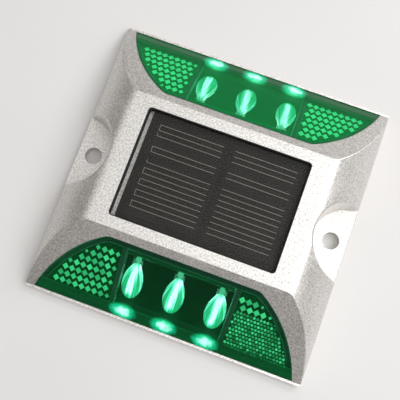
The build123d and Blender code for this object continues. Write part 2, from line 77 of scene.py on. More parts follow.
class Wire:
    """A node's output that takes part in Python arithmetic."""

    def __init__(self, graph: "Graph", socket: bpy.types.NodeSocket) -> None:
        """Keeps the graph and the output socket."""
        self.graph = graph
        self.socket = socket

    def __add__(self, other: Value) -> "Wire":
        """Sum."""
        return self.graph.math("ADD", self, other)

    def __radd__(self, other: Value) -> "Wire":
        """Sum, with the number first."""
        return self.graph.math("ADD", other, self)

    def __sub__(self, other: Value) -> "Wire":
        """Difference."""
        return self.graph.math("SUBTRACT", self, other)

    def __rsub__(self, other: Value) -> "Wire":
        """Difference, with the number first."""
        return self.graph.math("SUBTRACT", other, self)

    def __mul__(self, other: Value) -> "Wire":
        """Product."""
        return self.graph.math("MULTIPLY", self, other)

    def __rmul__(self, other: Value) -> "Wire":
        """Product, with the number first."""
        return self.graph.math("MULTIPLY", other, self)

    def __truediv__(self, other: Value) -> "Wire":
        """Quotient."""
        return self.graph.math("DIVIDE", self, other)

    def __rtruediv__(self, other: Value) -> "Wire":
        """Quotient, with the number first."""
        return self.graph.math("DIVIDE", other, self)

    def __pow__(self, other: Value) -> "Wire":
        """Power."""
        return self.graph.math("POWER", self, other)

    def __abs__(self) -> "Wire":
        """Size without its sign."""
        return self.graph.math("ABSOLUTE", self)

    def __gt__(self, other: Value) -> "Wire":
        """1 where this is greater, else 0."""
        return self.graph.math("GREATER_THAN", self, other)

    def __lt__(self, other: Value) -> "Wire":
        """1 where this is less, else 0; it serves a number > this as well."""
        return self.graph.math("LESS_THAN", self, other)

    def rounded(self) -> "Wire":
        """Nearest whole number."""
        return self.graph.math("ROUND", self)

    def sine(self) -> "Wire":
        """Sine of an angle in radians."""
        return self.graph.math("SINE", self)

    def kept(self, low: float = 0.0, high: float = 1.0) -> "Wire":
        """Kept between two numbers."""
        return self.graph.node("ShaderNodeClamp", {}, {"Value": self, "Min": low, "Max": high})

    def ease(self, start: float, end: float) -> "Wire":
        """Turns start..end smoothly into 0..1.

        Args:
            start: Value that gives 0.
            end: Value that gives 1; it may be less than start.

        Returns:
            A smooth step.
        """
        settings = {"interpolation_type": "SMOOTHSTEP"}
        low, high = (start, end) if start < end else (end, start)
        inputs = {"Value": self, "From Min": low, "From Max": high}
        step = self.graph.node("ShaderNodeMapRange", settings, inputs)
        return step if start < end else 1 - step


class Graph:
    """The node tree of a material or a world."""

    def __init__(self, tree: bpy.types.NodeTree) -> None:
        """Starts from an empty tree."""
        self.tree = tree
        self.tree.nodes.clear()

    def node(
        self,
        kind: str,
        settings: dict[str, object],
        inputs: dict[Union[str, int], object],
        output: Union[str, int] = 0,
    ) -> Wire:
        """Adds a node, sets it up and connects it.

        Args:
            kind: Node type.
            settings: The node's own properties; "stops" gives a ramp's positions and colours.
            inputs: Numbers, colours or wires for its sockets, by name or index.
            output: Which output to hand on, by name or index.

        Returns:
            The chosen output.
        """
        made = self.tree.nodes.new(kind)
        for key, setting in settings.items():
            if key == "stops":
                self._set_stops(made.color_ramp, setting)
            else:
                setattr(made, key, setting)
        for key, given in inputs.items():
            if isinstance(given, Wire):
                self.tree.links.new(given.socket, made.inputs[key])
            else:
                made.inputs[key].default_value = given
        outputs = made.outputs
        return Wire(self, outputs[output]) if len(outputs) else Wire(self, made.inputs[0])

    @staticmethod
    def _set_stops(ramp: bpy.types.ColorRamp, stops: Sequence[tuple[float, Colour]]) -> None:
        """Gives a colour ramp its stops.

        Args:
            ramp: The ramp.
            stops: Position and colour of each stop, in order.
        """
        while len(ramp.elements) < len(stops):
            ramp.elements.new(1.0)
        for element, (position, shade) in zip(ramp.elements, stops):
            element.position = position
            element.color = shade

    def math(self, operation: str, first: Value, second: Value = 0.0) -> Wire:
        """One Math node."""
        return self.node("ShaderNodeMath", {"operation": operation}, {0: first, 1: second})

    def blend(self, share: Value, first: Shade, second: Shade) -> Wire:
        """Mixes two colours.

        Args:
            share: How much of the second colour is taken.
            first: Colour or wire.
            second: Colour or wire.

        Returns:
            The mixed colour.
        """
        inputs = {0: share, MIX_FIRST: first, MIX_SECOND: second}
        return self.node("ShaderNodeMix", {"data_type": "RGBA"}, inputs, MIX_COLOUR)

    def ramp(self, share: Wire, stops: Sequence[tuple[float, Colour]]) -> Wire:
        """Colour from a ramp."""
        return self.node("ShaderNodeValToRGB", {"stops": stops}, {"Fac": share})

    def place(self) -> Wire:
        """Position in the frame, in millimetres."""
        inside = self.node("ShaderNodeTexCoord", {}, {}, "Object")
        return self.vector("MULTIPLY", inside, (1 / MM, 1 / MM, 1 / MM))

    def vector(
        self, operation: str, first: Wire, second: Union[Wire, tuple[float, float, float]]
    ) -> Wire:
        """One Vector Math node."""
        return self.node("ShaderNodeVectorMath", {"operation": operation}, {0: first, 1: second})

    def parts(self, place: Wire) -> tuple[Wire, Wire, Wire]:
        """Splits a vector.

        Args:
            place: The vector.

        Returns:
            Its X, Y and Z.
        """
        split = self.node("ShaderNodeSeparateXYZ", {}, {"Vector": place})
        outputs = split.socket.node.outputs
        return (Wire(self, outputs[0]), Wire(self, outputs[1]), Wire(self, outputs[2]))

    def joined(self, x: Value, y: Value, z: Value) -> Wire:
        """Vector from three values."""
        return self.node("ShaderNodeCombineXYZ", {}, {"X": x, "Y": y, "Z": z})

    def noise(self, place: Wire, scale: float, detail: float = 2.0) -> Wire:
        """Noise from about 0 to 1, scale features per millimetre."""
        inputs = {"Vector": place, "Scale": scale, "Detail": detail, "Roughness": 0.6}
        return self.node("ShaderNodeTexNoise", {}, inputs)

    def cells(self, place: Wire, scale: float) -> Wire:
        """Distance to the middle of the nearest Voronoi cell, scale cells per millimetre."""
        inputs = {"Vector": place, "Scale": scale}
        return self.node("ShaderNodeTexVoronoi", {}, inputs, "Distance")

    def bump(self, relief: Wire, depth: float) -> Wire:
        """Normal from a relief of a depth in millimetres."""
        inputs = {"Height": relief, "Distance": depth * MM, "Strength": 1.0}
        return self.node("ShaderNodeBump", {}, inputs)

    def beside_lamp(self, across: Wire) -> tuple[Wire, Wire]:
        """Finds the nearest of the three lamps in a row.

        Args:
            across: Position along the row, in millimetres.

        Returns:
            The lamp's number, -1 to 1, and how far from its middle the position lies.
        """
        number = (across / LAMP_PITCH).rounded().kept(-1.0, 1.0)
        return number, across - number * LAMP_PITCH

    def surface(self, **inputs: object) -> Wire:
        """Principled shader.

        Args:
            **inputs: Its sockets, with _ for each space in the name.

        Returns:
            The shader.
        """
        named = {key.replace("_", " "): given for key, given in inputs.items()}
        return self.node("ShaderNodeBsdfPrincipled", {}, named)

    def sheen(self, straight: float) -> Wire:
        """Share of light that a clear surface mirrors.

        Args:
            straight: The share seen straight on.

        Returns:
            The share, which rises to 1 at glancing angles.
        """
        facing = self.node("ShaderNodeLayerWeight", {}, {"Blend": 0.5}, "Facing")
        return facing**5.0 * (1 - straight) + straight

    def layered(self, share: Value, first: Wire, second: Wire) -> Wire:
        """Mixes two shaders."""
        return self.node("ShaderNodeMixShader", {}, {0: share, 1: first, 2: second})


# ------------------------------------------------------------------ finishes


@dataclass(frozen=True)
class Finish:
    """A surface finish, shared by every piece that has it."""

    name: str
    slot: str

    def shade(self, graph: Graph) -> Wire:
        """Builds the shader."""
        raise NotImplementedError

    def make(self) -> bpy.types.Material:
        """Makes the material, once.

        Returns:
            The material of this finish.
        """
        label = f"{self.name}_finish"
        made = bpy.data.materials.get(label)
        if made is None:
            made = bpy.data.materials.new(label)
            made.use_nodes = True
            graph = Graph(made.node_tree)
            graph.node("ShaderNodeOutputMaterial", {}, {"Surface": self.shade(graph)})
        return made


@dataclass(frozen=True)
class CastAluminium(Finish):
    """Die-cast aluminium, bead-blasted to a satin with a fine speckle."""

    dark: str = "bcb9b5"
    pale: str = "efedea"
    grain: float = 1.5
    patch: float = 0.07
    metallic: float = 0.9
    roughness: float = 0.44
    depth: float = 0.11

    def shade(self, graph: Graph) -> Wire:
        """Blasted grain over slow patches of tone, with pits that stay darker and rougher."""
        place = graph.place()
        speckle = graph.noise(place, self.grain, 4.0)
        fine = graph.noise(place, 3 * self.grain, 1.0)
        patches = graph.noise(place, self.patch, 3.0)
        pits = graph.cells(place, 0.5 * self.grain).ease(0.22, 0.04)
        grains = speckle.ease(0.38, 0.62) * 0.55
        tone = grains + patches * 0.25 + fine.ease(0.35, 0.65) * 0.3 - pits * 0.2
        stops = [(0.1, linear(self.dark)), (0.85, linear(self.pale))]
        rough = (speckle - 0.5) * 0.22 + (patches - 0.5) * 0.16 + pits * 0.15 + self.roughness
        relief = speckle * 0.6 + fine * 0.4 - pits * 0.8
        return graph.surface(
            Base_Color=graph.ramp(tone.kept(), stops),
            Metallic=self.metallic,
            Roughness=rough.kept(0.2, 0.8),
            Normal=graph.bump(relief, self.depth),
        )


@dataclass(frozen=True)
class Plastic(Finish):
    """Moulded plastic, rubber or paint: two near shades, a fine grain and scuffs."""

    dark: str
    pale: str
    grain: float = 3.0
    roughness: float = 0.5
    depth: float = 0.02

    def shade(self, graph: Graph) -> Wire:
        """Flow marks and grain, with scuffs that are paler and rougher."""
        place = graph.place()
        grain = graph.noise(place, self.grain, 3.0)
        flow = graph.noise(graph.vector("MULTIPLY", place, (0.12, 0.5, 0.3)), 1.0, 2.0)
        scuffs = graph.noise(graph.vector("MULTIPLY", place, (1.6, 0.25, 1.0)), 1.0, 4.0)
        worn = scuffs.ease(0.6, 0.72)
        tone = grain * 0.4 + flow * 0.5 + worn * 0.25
        stops = [(0.25, linear(self.dark)), (0.8, linear(self.pale))]
        rough = (grain - 0.5) * 0.15 + worn * 0.12 + self.roughness
        return graph.surface(
            Base_Color=graph.ramp(tone.kept(), stops),
            Roughness=rough.kept(0.1, 1.0),
            Normal=graph.bump(grain, self.depth),
        )


@dataclass(frozen=True)
class Metal(Finish):
    """Plated or drawn metal with fine lines along one axis."""

    dark: str
    pale: str
    lines: tuple[float, float, float] = (0.4, 6.0, 6.0)
    roughness: float = 0.3
    depth: float = 0.01

    def shade(self, graph: Graph) -> Wire:
        """Drawing lines, dull stains and a slight relief."""
        place = graph.place()
        drawn = graph.noise(graph.vector("MULTIPLY", place, self.lines), 1.0, 2.0)
        stains = graph.noise(place, 0.5, 3.0)
        tone = drawn * 0.5 + stains * 0.5
        stops = [(0.3, linear(self.dark)), (0.7, linear(self.pale))]
        rough = (drawn - 0.5) * 0.2 + stains.ease(0.5, 0.75) * 0.2 + self.roughness
        return graph.surface(
            Base_Color=graph.ramp(tone.kept(), stops),
            Metallic=1.0,
            Roughness=rough.kept(0.12, 0.9),
            Normal=graph.bump(drawn, self.depth),
        )


@dataclass(frozen=True)
class CopperWinding(Finish):
    """Enamelled copper wire wound in close turns about a vertical core."""

    turn: float = 0.38
    depth: float = 0.12

    def shade(self, graph: Graph) -> Wire:
        """One ridge for each turn of wire, with painted shade in the grooves between turns."""
        place = graph.place()
        across, along, up = graph.parts(place)
        ridge = (up * (2 * math.pi / self.turn)).sine() * 0.5 + 0.5
        enamel = graph.noise(graph.joined(across, along, up * 4), 1.2, 2.0)
        # Painted shade: the colour darkens in the grooves between turns.
        tone = ridge * 0.6 + enamel * 0.4
        stops = [(0.2, linear("5c2410")), (0.8, linear("d0713a"))]
        return graph.surface(
            Base_Color=graph.ramp(tone.kept(), stops),
            Metallic=0.9,
            Roughness=(enamel * 0.3 + 0.2).kept(),
            Normal=graph.bump(ridge, self.depth),
        )


@dataclass(frozen=True)
class CircuitLaminate(Finish):
    """Solder-masked circuit laminate with copper tracks showing through."""

    pitch: float = 1.9
    left_out: float = 0.47
    depth: float = 0.04

    def shade(self, graph: Graph) -> Wire:
        """Tracks on a grid, some left out, under a glossy mask."""
        place = graph.place()
        across, along, _ = graph.parts(place)
        lane = along / self.pitch
        beside = abs(lane - lane.rounded())
        draw = graph.noise(graph.joined(across * 0.06, lane.rounded(), 0.0), 1.7, 0.0)
        tracks = beside.ease(0.22, 0.16) * (draw > self.left_out)
        weave = graph.noise(place, 5.0, 2.0)
        mask = graph.blend(weave * 0.5, linear("0b3a22"), linear("125231"))
        return graph.surface(
            Base_Color=graph.blend(tracks, mask, linear("2f7d4a")),
            Roughness=(weave * 0.2 + 0.2).kept(),
            Normal=graph.bump(tracks + weave * 0.2, self.depth),
        )


@dataclass(frozen=True)
class SolarLaminate(Finish):
    """Dark resin-coated panel: nearly black brown with a faint weave and dust."""

    dark: str = "191614"
    pale: str = "282421"
    roughness: float = 0.45
    weave: float = 9.0
    shine: float = 0.25
    depth: float = 0.006

    def shade(self, graph: Graph) -> Wire:
        """Faint glass weave under the resin, with sparse dust."""
        place = graph.place()
        across, along, _ = graph.parts(place)
        weave = (across * self.weave).sine() * (along * self.weave).sine() * 0.5 + 0.5
        cloud = graph.noise(place, 0.09, 3.0)
        dust = graph.cells(place, 0.8).ease(0.07, 0.03)
        tone = weave * 0.25 + cloud * 0.75
        stops = [(0.3, linear(self.dark)), (0.75, linear(self.pale))]
        coat = graph.ramp(tone.kept(), stops)
        return graph.surface(
            Base_Color=graph.blend(dust * 0.35, coat, linear("6a6660")),
            Roughness=(cloud * 0.2 + dust * 0.3 + self.roughness).kept(),
            Specular_IOR_Level=self.shine,
            Normal=graph.bump(weave, self.depth),
        )


@dataclass(frozen=True)
class ClearCover(Finish):
    """Clear polycarbonate with a faint haze and hairline scratches."""

    tint: Colour = (0.97, 0.975, 0.97, 1.0)
    straight: float = 0.005
    depth: float = 0.001

    def shade(self, graph: Graph) -> Wire:
        """Clear body whose gloss grows at glancing angles."""
        place = graph.place()
        haze = graph.noise(place, 0.05, 2.0)
        hairs = graph.noise(graph.vector("MULTIPLY", place, (0.15, 5.0, 1.0)), 1.0, 2.0)
        scratches = hairs.ease(0.74, 0.8)
        through = graph.node("ShaderNodeBsdfTransparent", {}, {"Color": self.tint})
        gloss = graph.surface(
            Base_Color=graph.blend(haze, linear("f2f2f0"), linear("ffffff")),
            Metallic=1.0,
            Roughness=(haze * 0.06 + scratches * 0.2 + 0.04).kept(),
            Normal=graph.bump(hairs, self.depth),
        )
        share = graph.sheen(self.straight) + scratches * 0.01
        return graph.layered(share.kept(), through, gloss)


@dataclass(frozen=True)
class GreenLens(Finish):
    """Transparent green acrylic, with the lamp light that it carries to its chin painted in as a
    glow.

    The chin is the middle of the painted glow along Y, bevel where the painted shade along the
    outer edge starts and is full before it, and pool the half width and half depth of a lamp's
    painted glow, all in millimetres.
    """

    tint: Colour = (0.5, 0.93, 0.76, 1.0)
    chin: float = 50.3
    edge_shade: tuple[float, float] = (2.1, 1.1)
    pool: tuple[float, float] = (5.2, 2.9)
    strength: float = 1.6
    shine: float = 0.1
    polish: float = 0.06
    straight: float = 0.012
    depth: float = 0.01

    def shade(self, graph: Graph) -> Wire:
        """Tinted see-through body, gloss, faint inner haze, painted lamp glow in the chin and
        painted shade along its outer edge.
        """
        place = graph.place()
        across, along, _ = graph.parts(place)
        out = abs(along)
        _, beside = graph.beside_lamp(across)
        ripple = graph.noise(place, 0.55, 2.0)
        wide, deep = self.pool
        reach = (beside / wide) ** 2.0 + ((out - self.chin) / deep) ** 2.0 + (ripple - 0.5) * 0.7
        # Painted glow: the lamps' light in the chin, as emission in a pool around each lamp.
        glow = reach.ease(1.25, -0.2)
        core = reach.ease(0.45, -0.1)
        # Painted shade: near the outer edge the lens turns darker green and less clear.
        edge_shade = out.ease(self.chin - self.edge_shade[0], self.chin - self.edge_shade[1])
        lit = graph.blend(core, linear("10c48e"), linear("b8fff0"))
        flow = graph.noise(graph.vector("MULTIPLY", place, (0.05, 0.3, 0.3)), 1.0, 3.0)
        body = graph.blend(flow, linear("089048"), linear("0ea356"))
        edge = graph.blend(flow, linear("03401f"), linear("0a6e3a"))
        resin = graph.surface(
            Base_Color=graph.blend(edge_shade, body, edge),
            Roughness=(flow * 0.1 + 0.08).kept(),
            Emission_Color=graph.blend(glow, UNLIT, lit),
            Emission_Strength=self.strength,
            Specular_IOR_Level=self.shine,
            Normal=graph.bump(ripple, self.depth),
        )
        through = graph.node("ShaderNodeBsdfTransparent", {}, {"Color": self.tint})
        facing = graph.node("ShaderNodeLayerWeight", {}, {"Blend": 0.5}, "Facing")
        haze = facing.ease(0.1, 0.45) * 0.3 + flow * 0.03 + glow * 0.75 + edge_shade * 0.72
        inner = graph.layered(haze.kept(), through, resin)
        mirror = {"Color": WHITE, "Roughness": self.polish}
        gloss = graph.node("ShaderNodeBsdfGlossy", {}, mirror)
        return graph.layered(graph.sheen(self.straight), inner, gloss)


@dataclass(frozen=True)
class LitOptic(Finish):
    """Clear light guide, lit from its tail: a white core and streaks that follow its shape.

    Its middle along Y and half its length are in millimetres.
    """

    middle: float = 38.9
    half: float = 6.2
    strength: float = 3.4
    depth: float = 0.05

    def shade(self, graph: Graph) -> Wire:
        """Light that is white along the axis and green towards the sides."""
        place = graph.place()
        across, along, _ = graph.parts(place)
        number, beside = graph.beside_lamp(across)
        outward = (abs(along) - self.middle) / self.half
        swell = outward.ease(-1.1, 0.35) * 2.9 + 1.0
        meridian = beside / swell
        streaks = graph.noise(graph.joined(meridian * 5.0, outward * 0.5, number * 7.0), 1.0, 2.0)
        lengthwise = outward.ease(1.05, 0.6) * outward.ease(-1.3, -0.6)
        core = abs(beside + outward * 0.25).ease(2.2, 0.3) * lengthwise
        rim = abs(meridian).ease(0.8, 0.95) * 0.45
        light = (core * 0.9 + streaks.ease(0.38, 0.7) * 0.5 + rim).kept()
        stops = [
            (0.0, linear("0c4a34")),
            (0.3, linear("155242")),
            (0.55, linear("40877d")),
            (0.78, linear("a29aa6")),
            (1.0, linear("ffffff")),
        ]
        return graph.surface(
            Base_Color=graph.blend(streaks, linear("9fd8bd"), linear("dff5ea")),
            Roughness=(streaks * 0.2 + 0.1).kept(),
            Emission_Color=graph.ramp(light, stops),
            Emission_Strength=self.strength,
            Normal=graph.bump(streaks, self.depth),
        )


@dataclass(frozen=True)
class LampBody(Finish):
    """Lamp chip in a dark body whose dome is lit."""

    strength: float = 0.8

    def shade(self, graph: Graph) -> Wire:
        """Lit phosphor in the dome, and a mottled dark body."""
        place = graph.place()
        across, _, _ = graph.parts(place)
        _, beside = graph.beside_lamp(across)
        dome = abs(beside).ease(1.2, 0.9)
        mottle = graph.noise(place, 2.0, 3.0)
        lit = graph.blend(mottle, linear("6cc8a0"), linear("b8f0d8"))
        return graph.surface(
            Base_Color=graph.blend(mottle, linear("0e1c16"), linear("20342a")),
            Roughness=(mottle * 0.3 + 0.2).kept(),
            Emission_Color=graph.blend(dome, UNLIT, lit),
            Emission_Strength=self.strength,
        )


@dataclass(frozen=True)
class PrismSilver(Finish):
    """Metallised prisms: painted bright faces between flanks in painted shade, and a painted glow.
    """

    pale: str = "e4ffec"
    dark: str = "06140c"
    painted_glow: str = "84f0b4"
    strength: float = 0.85

    def shade(self, graph: Graph) -> Wire:
        """Face tone comes from each prism as painted light and shade, with slight clouding."""
        place = graph.place()
        tone = graph.node("ShaderNodeAttribute", {"attribute_name": "tone"}, {}, "Fac")
        cloud = graph.noise(place, 0.9, 2.0)
        share = (tone + (cloud - 0.5) * 0.3).kept()
        return graph.surface(
            Base_Color=graph.blend(share, linear(self.dark), linear(self.pale)),
            Roughness=(cloud * 0.2 + 0.2).kept(),
            # Painted glow: emission after the face tone keeps the prisms bright in any light.
            Emission_Color=graph.blend(share, UNLIT, linear(self.painted_glow)),
            Emission_Strength=self.strength,
        )


@dataclass(frozen=True)
class PrintedSilver(Finish):
    """Screen-printed silver paste."""

    metallic: float = 0.2
    depth: float = 0.01

    def shade(self, graph: Graph) -> Wire:
        """Grainy paste, thinner in places."""
        place = graph.place()
        paste = graph.noise(place, 1.4, 4.0)
        stops = [(0.3, linear("6a665f")), (0.7, linear("a5a099"))]
        return graph.surface(
            Base_Color=graph.ramp(paste, stops),
            Metallic=self.metallic,
            Roughness=(paste * 0.2 + 0.4).kept(),
            Normal=graph.bump(paste, self.depth),
        )


@dataclass(frozen=True)
class StudioPaper(Finish):
    """Pale paper under the marker."""

    depth: float = 0.01

    def shade(self, graph: Graph) -> Wire:
        """Very faint fibre and slow changes of tone."""
        place = graph.place()
        slow = graph.noise(place, 0.012, 2.0)
        fibre = graph.noise(place, 1.5, 3.0)
        tone = slow * 0.6 + fibre * 0.4
        stops = [(0.3, linear("dddbda")), (0.7, linear("e2e1e0"))]
        return graph.surface(
            Base_Color=graph.ramp(tone, stops),
            Roughness=(fibre * 0.1 + 0.6).kept(),
            Normal=graph.bump(fibre, self.depth),
        )


class Look(Enum):
    """Every finish on the marker."""

    ALUMINIUM = CastAluminium("cast_aluminium", "cast_aluminium")
    COVER = ClearCover("clear_window", "clear_plastic")
    SEAL = Plastic("black_silicone", "black_seal", "050505", "141312", 4.0, 0.7)
    PANEL = SolarLaminate("panel_resin", "panel_laminate")
    CELL = SolarLaminate("solar_silicon", "silicon", "1a1715", "2a2623", 0.4)
    FINGER = PrintedSilver("printed_silver", "silicon")
    LENS = GreenLens("green_acrylic", "green_lens")
    PRISM = PrismSilver("prism_silver", "green_reflector")
    PLATE = Plastic("reflector_backing", "green_reflector", "06301a", "125c36", 2.0, 0.35)
    CIRCUIT = CircuitLaminate("solder_mask", "circuit_laminate")
    CARRIER = Plastic("carrier_plastic", "carrier_plastic", "0e0b08", "241c14", 2.5, 0.4)
    LAMP = LampBody("lamp_body", "led_body")
    OPTIC = LitOptic("lit_light_guide", "lit_optic")
    MOULDED = Plastic("moulded_epoxy", "moulded_black", "101010", "262524", 5.0, 0.55)
    FERRITE = Plastic("ferrite", "ferrite", "1c1c1e", "3a3a3d", 6.0, 0.6, 0.05)
    COPPER = CopperWinding("enamelled_copper", "copper")
    GASKET = Plastic("grey_silicone", "black_seal", "3e4340", "565c58", 3.0, 0.6)
    CAN = Metal("capacitor_can", "capacitor_can", "8d9196", "c9ccd0", (6.0, 6.0, 0.4))
    STEEL = Metal("battery_steel", "battery_steel", "8a8a86", "c4c4c0")
    WRAP = Plastic("battery_wrap", "battery_wrap", "0f3a6a", "1c5a98", 1.5, 0.3)
    BASE = Plastic("cover_moulding", "cover_plastic", "2b2c2d", "4a4b4c", 2.0, 0.6, 0.05)
    PLATED = Metal("plated_steel", "plated_steel", "8f9092", "d4d5d6", (3.0, 3.0, 3.0), 0.28)
    RED = Plastic("red_insulation", "red_wire", "7a0e0c", "b81c16", 3.0, 0.45)
    BLACK = Plastic("black_insulation", "black_wire", "0b0b0b", "1f1f1f", 3.0, 0.45)
    PAPER = StudioPaper("studio_paper", "")


# ------------------------------------------------------------------ pieces


def dress(node: str, look: Look) -> None:
    """Gives a CAD node its finish.

    Args:
        node: Name of the node.
        look: Its finish.
    """
    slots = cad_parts[node].data.materials
    slots.clear()
    slots.append(look.value.make())
    LOG.info("dressed %s in %s", node, look.value.name)


def add_mesh(name: str, shape: bmesh.types.BMesh, look: Look) -> bpy.types.Object:
    """Puts a finished bmesh into the scene.

    Args:
        name: Name of the object.
        shape: Its mesh in the frame; it is freed here.
        look: Its finish.

    Returns:
        The object.
    """
    mesh = bpy.data.meshes.new(name)
    shape.to_mesh(mesh)
    shape.free()
    mesh.materials.append(look.value.make())
    made = bpy.data.objects.new(name, mesh)
    bpy.context.scene.collection.objects.link(made)
    return made


def new_piece(name: str, shape: bmesh.types.BMesh, look: Look) -> None:
    """Makes a piece that rides on the marker.

    Args:
        name: Name of the piece.
        shape: Its mesh in the frame; it is freed here.
        look: Its finish.
    """
    made = add_mesh(name, shape, look)
    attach(made, "root")
    LOG.info("built %s with %d faces", name, len(made.data.polygons))


def add_block(
    shape: bmesh.types.BMesh, low: Sequence[float], high: Sequence[float]
) -> None:
    """Adds a block between two corners, in millimetres.

    Args:
        shape: Mesh to add to.
        low: Lowest corner.
        high: Highest corner.
    """
    size = [(b - a) * MM for a, b in zip(low, high)]
    middle = Vector([(a + b) / 2 * MM for a, b in zip(low, high)])
    made = bmesh.ops.create_cube(shape, size=1.0)["verts"]
    for point in made:
        point.co = Vector([c * s for c, s in zip(point.co, size)]) + middle


@dataclass
class Housing:
    """The cast body with its slopes, flanks and bolt ears."""

    node: str = "housing"

    def build(self) -> None:
        """Dresses the casting."""
        dress(self.node, Look.ALUMINIUM)


@dataclass
class SolarWindow:
    """Window cover, seal, panel and cells with their printed fingers. Sizes are in millimetres.

    Fingers lie in numbered slots along Y, and the gaps have none. Brackets and hooks are the slots
    where a short link joins the left cell's fingers.
    """

    line: float = 0.17
    thickness: float = 0.03
    pitch: float = 2.063
    first: float = 16.0
    slots: int = 16
    gaps: tuple[int, ...] = (3, 6)
    hook: float = 0.45
    left_span: tuple[float, float] = (-24.6, -0.8)
    right_span: tuple[float, float] = (3.65, 26.6)
    brackets: tuple[int, ...] = (0, 4, 8, 10, 12, 14)
    hooks: tuple[int, ...] = (2, 7)

    def build(self) -> None:
        """Dresses the window and prints the fingers."""
        dress("window_cover", Look.COVER)
        dress("window_seal", Look.SEAL)
        dress("solar_panel", Look.PANEL)
        for side, span in (("left", self.left_span), ("right", self.right_span)):
            dress(f"solar_cell_{side}", Look.CELL)
            self._print_fingers(side, span)

    def _print_fingers(self, side: str, span: tuple[float, float]) -> None:
        """Lays one cell's fingers on its face.

        Args:
            side: Which cell.
            span: Where its fingers start and end along X.
        """
        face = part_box(f"solar_cell_{side}")[1].z / MM
        shape = bmesh.new()
        for number in range(self.slots):
            if number in self.gaps:
                continue
            middle = self.first - number * self.pitch
            self._strip(shape, span[0], span[1], middle, face)
        if side == "left":
            start = span[0] - self.line / 2
            for number in self.brackets:
                top = self.first - number * self.pitch
                self._post(shape, start, top, top - self.pitch, face)
            for number in self.hooks:
                top = self.first - number * self.pitch
                self._post(shape, start, top + self.hook * self.pitch, top, face)
        new_piece(f"{side}_cell_fingers", shape, Look.FINGER)

    def _strip(
        self, shape: bmesh.types.BMesh, start: float, end: float, y: float, z: float
    ) -> None:
        """A finger along X."""
        half = self.line / 2
        add_block(shape, (start, y - half, z), (end, y + half, z + self.thickness))

    def _post(self, shape: bmesh.types.BMesh, x: float, top: float, foot: float, z: float) -> None:
        """A short link along Y that joins two fingers."""
        half = self.line / 2
        add_block(shape, (x - half, foot - half, z), (x + half, top + half, z + self.thickness))


@dataclass
class PrismField:
    """Staggered prisms on one reflector plate. Sizes are in millimetres.

    Beyond fine_from along Y, each prism makes way for a cluster of smaller ones. A prism that has no
    room is tried again at each of the fits, and land is the share of its foot that stays flat.
    """

    plate: str
    seed: int
    fine_from: Optional[float] = None
    pitch: float = 2.5
    height: float = 0.6
    land: float = 0.96
    fits: tuple[float, ...] = (1.0, 0.75, 0.5)
    bright: tuple[float, float] = (0.7, 1.0)
    dim: tuple[float, float] = (0.1, 0.75)
    cluster: tuple[tuple[float, float], ...] = ((-0.5, -0.5), (0.5, -0.5), (0.0, 0.5), (1.0, 0.5))
    # Tone of each flank face in turn: painted shade that differs from side to side.
    flanks: tuple[float, ...] = (0.05, 0.3, 0.2, 0.0)
    above: float = 10.0

    def build(self) -> None:
        """Sets rows of prisms all over the plate, smaller where its edge is near."""
        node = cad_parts[self.plate]
        graph = bpy.context.evaluated_depsgraph_get()
        tree = BVHTree.FromObject(node, graph)
        low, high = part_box(self.plate)
        draw = random.Random(self.seed)
        shape = bmesh.new()
        tone = shape.faces.layers.float.new("tone")
        step = self.pitch * MM
        for row in range(int((high.y - low.y) / step) + 2):
            for column in range(int((high.x - low.x) / step) + 3):
                x = low.x + (column + row % 2 / 2) * step
                place = Vector((x, low.y + row * step, high.z + self.above * MM))
                self._place(shape, tone, tree, place, draw)
        new_piece(f"{self.plate.replace('_reflector', '')}_prisms", shape, Look.PRISM)

    def _place(
        self,
        shape: bmesh.types.BMesh,
        tone: bmesh.types.BMLayerItem,
        tree: BVHTree,
        above: Vector,
        draw: random.Random,
    ) -> None:
        """Sets one prism, or a cluster of fine ones, under a point.

        Args:
            shape: Mesh to add to.
            tone: Face layer that holds how bright a face is.
            tree: The plate, to find its face.
            above: Point over the middle of the prism.
            draw: Source of small differences.
        """
        reach = self.pitch / 2 * MM
        if self.fine_from is None or abs(above.y) < self.fine_from * MM:
            self._prism(shape, tone, tree, above, reach, self.height, draw.uniform(*self.bright))
            return
        for across, along in self.cluster:
            place = above + Vector((across * reach, along * reach, 0))
            bright = draw.uniform(*self.dim)
            self._prism(shape, tone, tree, place, reach / 2, self.height / 2, bright)

    def _foot(self, tree: BVHTree, above: Vector, reach: float) -> list[Vector]:
        """Finds the four corners of a prism's foot.

        Args:
            tree: The plate, to find its face.
            above: Point over the middle of the prism.
            reach: From its middle to a corner, in metres.

        Returns:
            The corners, or fewer where one of them misses the plate's face.
        """
        down = Vector((0, 0, -1))
        corners = [Vector((1, 0, 0)), Vector((0, 1, 0)), Vector((-1, 0, 0)), Vector((0, -1, 0))]
        found = [tree.ray_cast(above + corner * reach, down)[0] for corner in corners]
        foot = [point for point in found if point is not None]
        heights = [point.z for point in foot]
        return foot if foot and max(heights) - min(heights) < 2 * reach else []

    def _prism(
        self,
        shape: bmesh.types.BMesh,
        tone: bmesh.types.BMLayerItem,
        tree: BVHTree,
        above: Vector,
        reach: float,
        height: float,
        bright: float,
    ) -> None:
        """Adds a four-sided prism with a flat land, as large as the plate has room for.

        Args:
            shape: Mesh to add to.
            tone: Face layer that holds how bright a face is.
            tree: The plate, to find its face.
            above: Point over the middle of the prism.
            reach: From its middle to a corner, in metres.
            height: Of its land over the plate, in millimetres.
            bright: How bright its land is.
        """
        for fit in self.fits:
            foot = self._foot(tree, above, reach * fit)
            if len(foot) == 4:
                break
        else:
            return
        middle = sum(foot, Vector()) / 4
        lift = Vector((0, 0, height * MM))
        lands = [shape.verts.new(middle + (point - middle) * self.land + lift) for point in foot]
        feet = [shape.verts.new(point) for point in foot]
        shape.faces.new(lands)[tone] = bright
        for i, share in enumerate(self.flanks):
            j = (i + 1) % 4
            shape.faces.new((feet[i], feet[j], lands[j], lands[i]))[tone] = share
        shape.faces.new(feet[::-1])[tone] = 0.0


